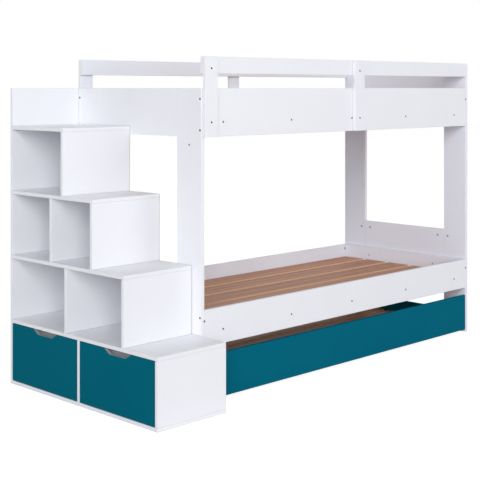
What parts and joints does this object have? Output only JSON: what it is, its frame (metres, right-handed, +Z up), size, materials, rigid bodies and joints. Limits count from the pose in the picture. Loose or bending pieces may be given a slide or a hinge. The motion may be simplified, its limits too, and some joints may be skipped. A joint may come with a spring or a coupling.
{
  "type": "bunk bed with storage stairs",
  "caption": "Bunk bed in boards with a box stair that holds niches and drawers, slatted bases, guard rails and a pull-out trundle bed on wheels.",
  "frame": {"origin": "middle of the whole footprint (stair and bed together), on the floor", "axes": "+X along the bed away from the stair, +Y from the open side to the wall, +Z up; the picture looks along +X +Y"},
  "size_m": [2.288, 0.984, 1.42],
  "materials": {
    "white_melamine": "satin white melamine-faced board",
    "teal_lacquer": "satin deep teal faced board",
    "slat_wood": "raw reddish-brown planks",
    "hardboard": "thin white-faced hardboard",
    "zinc_steel": "zinc-plated sheet steel",
    "dark_screw": "dark blued steel screws",
    "wheel_plastic": "black moulded wheels"
  },
  "bodies": {
    "bed_and_stair": {"left_front_leg": "white_melamine", "left_rear_leg": "white_melamine", "left_upper_board": "white_melamine", "left_middle_board": "white_melamine", "right_front_leg": "white_melamine", "right_rear_leg": "white_melamine", "right_upper_board": "white_melamine", "right_middle_board": "white_melamine", "lower_front_rail": "white_melamine", "upper_front_rail": "white_melamine", "lower_rear_rail": "white_melamine", "upper_rear_rail": "white_melamine", "end_boards": "white_melamine", "lower_cross_members": "slat_wood", "lower_slats": "slat_wood", "upper_cross_members": "slat_wood", "upper_slats": "slat_wood", "front_guard_posts": "white_melamine", "rear_guard_posts": "white_melamine", "front_guard_board": "white_melamine", "rear_guard_board": "white_melamine", "rail_screws": "dark_screw", "guard_post_screws": "dark_screw", "rail_bolts": "dark_screw", "stair_riser_1": "white_melamine", "stair_riser_2": "white_melamine", "stair_riser_3": "white_melamine", "stair_riser_4": "white_melamine", "stair_tread_1": "white_melamine", "stair_tread_2": "white_melamine", "stair_tread_3": "white_melamine", "stair_tread_4": "white_melamine", "drawer_divider": "white_melamine", "lower_niche_divider": "white_melamine", "upper_niche_divider": "white_melamine", "stair_rear_panel": "white_melamine", "stair_base_board": "white_melamine", "stair_side_panel": "white_melamine", "stair_back_sheet": "hardboard", "cabinet_runners": "zinc_steel"},
    "front_drawer": {"front_drawer_front": "teal_lacquer", "front_drawer_sides": "white_melamine", "front_drawer_back": "white_melamine", "front_drawer_bottom": "hardboard", "front_drawer_runners": "zinc_steel"},
    "rear_drawer": {"rear_drawer_front": "teal_lacquer", "rear_drawer_sides": "white_melamine", "rear_drawer_back": "white_melamine", "rear_drawer_bottom": "hardboard", "rear_drawer_runners": "zinc_steel"},
    "trundle": {"trundle_front": "teal_lacquer", "trundle_rear_board": "teal_lacquer", "trundle_end_boards": "teal_lacquer", "trundle_cross_members": "slat_wood", "trundle_slats": "slat_wood", "trundle_wheel_brackets": "zinc_steel"},
    "front_left_wheel": {"front_left_wheel": "wheel_plastic"},
    "front_right_wheel": {"front_right_wheel": "wheel_plastic"},
    "rear_left_wheel": {"rear_left_wheel": "wheel_plastic"},
    "rear_right_wheel": {"rear_right_wheel": "wheel_plastic"}
  },
  "joints": [
    {"name": "front_drawer_slide", "type": "slide", "parent": "bed_and_stair", "child": "front_drawer", "axis": [-1, 0, 0], "range_m": [0, 0.25]},
    {"name": "rear_drawer_slide", "type": "slide", "parent": "bed_and_stair", "child": "rear_drawer", "axis": [-1, 0, 0], "range_m": [0, 0.25]},
    {"name": "trundle_slide", "type": "slide", "parent": "bed_and_stair", "child": "trundle", "axis": [0, -1, 0], "range_m": [0, 0.75]},
    {"name": "front_left_wheel_axle", "type": "hinge", "parent": "trundle", "child": "front_left_wheel", "pos_m": [-0.7385, -0.247, 0.016], "axis": [1, 0, 0], "continuous": true},
    {"name": "front_right_wheel_axle", "type": "hinge", "parent": "trundle", "child": "front_right_wheel", "pos_m": [1.0965, -0.247, 0.016], "axis": [1, 0, 0], "continuous": true},
    {"name": "rear_left_wheel_axle", "type": "hinge", "parent": "trundle", "child": "rear_left_wheel", "pos_m": [-0.7385, 0.377, 0.016], "axis": [1, 0, 0], "continuous": true},
    {"name": "rear_right_wheel_axle", "type": "hinge", "parent": "trundle", "child": "rear_right_wheel", "pos_m": [1.0965, 0.377, 0.016], "axis": [1, 0, 0], "continuous": true}
  ],
  "couplings": [
    {"joint": "front_left_wheel_axle", "follows": "trundle_slide", "rad_per_m": 62.5},
    {"joint": "front_right_wheel_axle", "follows": "trundle_slide", "rad_per_m": 62.5},
    {"joint": "rear_left_wheel_axle", "follows": "trundle_slide", "rad_per_m": 62.5},
    {"joint": "rear_right_wheel_axle", "follows": "trundle_slide", "rad_per_m": 62.5}
  ]
}
